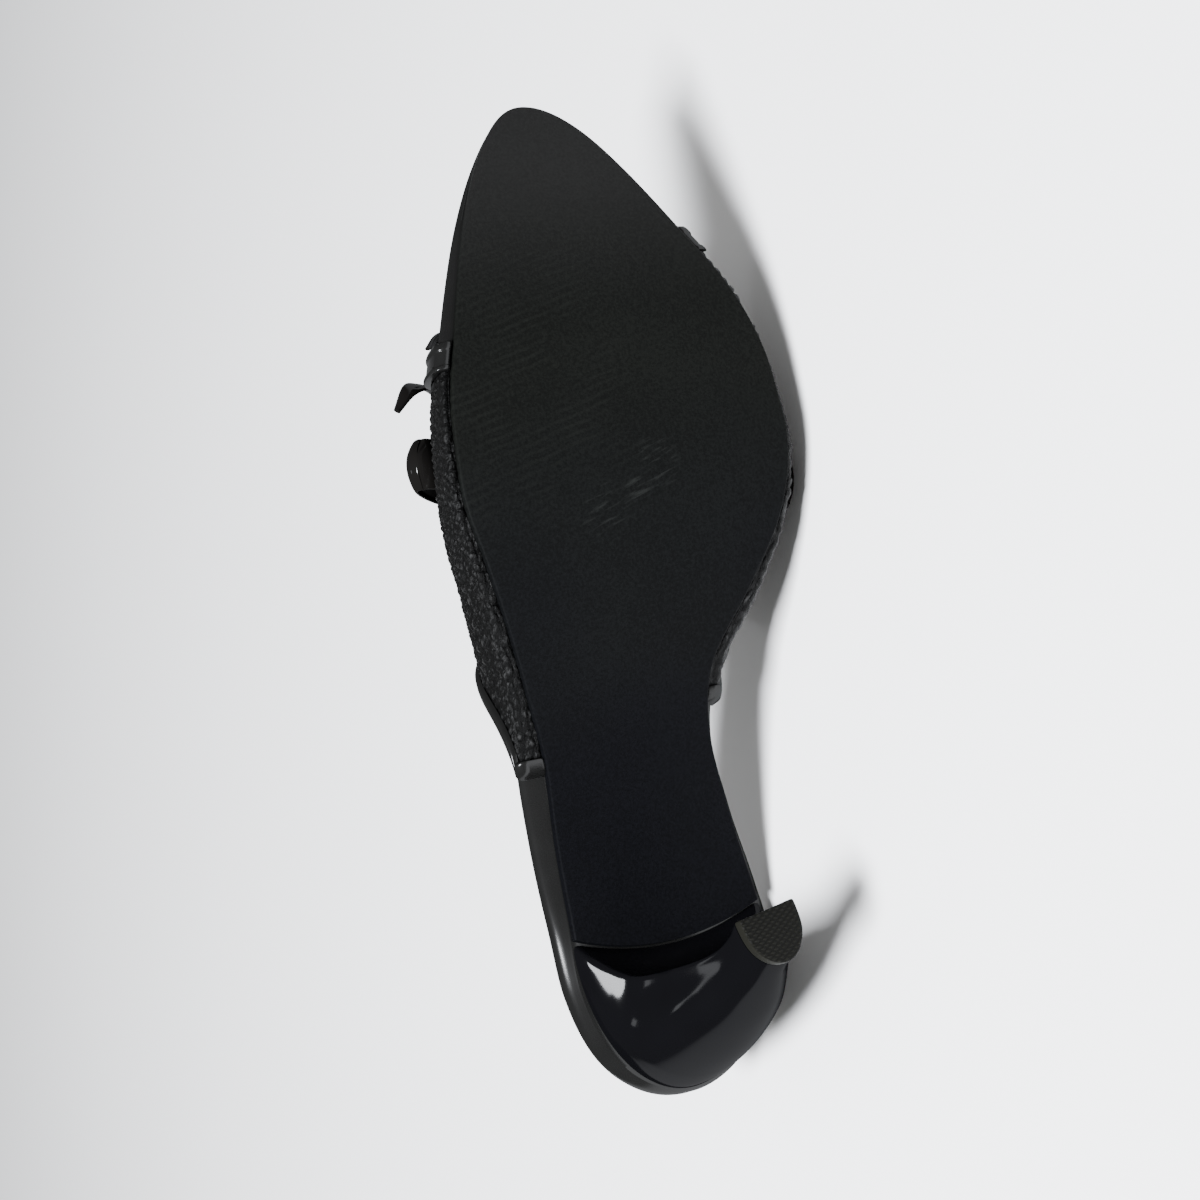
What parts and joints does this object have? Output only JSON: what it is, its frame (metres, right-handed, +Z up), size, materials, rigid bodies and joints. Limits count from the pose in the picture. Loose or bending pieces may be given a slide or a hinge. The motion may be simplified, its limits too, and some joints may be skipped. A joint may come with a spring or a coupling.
{
  "type": "heeled sandal",
  "caption": "Right-foot backless heeled sandal with a pointed open toe, woven vamp, patent trim, side bow, padded footbed and curved covered heel.",
  "frame": {"origin": "bottom centre of the bounding box, on the floor that the sandal lies on", "axes": "The sandal lies on its inner side. +X along the shoe towards the toe, +Y roughly from the sole towards the instep, +Z up, roughly towards the shoe's outer side"},
  "size_m": [0.2344, 0.0764, 0.0929],
  "materials": {
    "sole_rubber": "matte, finely ribbed, slightly scuffed",
    "patent": "patent, high gloss",
    "woven": "woven glossy straw strips",
    "lift_rubber": "matte, fine tread"
  },
  "bodies": {
    "root": {"outsole": "sole_rubber", "footbed": "patent", "heel": "patent", "heel_lift": "lift_rubber", "vamp": "woven", "toe_band": "patent", "back_binding": "patent", "bow_loop_outer": "patent", "bow_loop_inner": "patent", "bow_knot": "patent", "bow_tail_back": "patent", "bow_tail_front": "patent"}
  },
  "joints": []
}
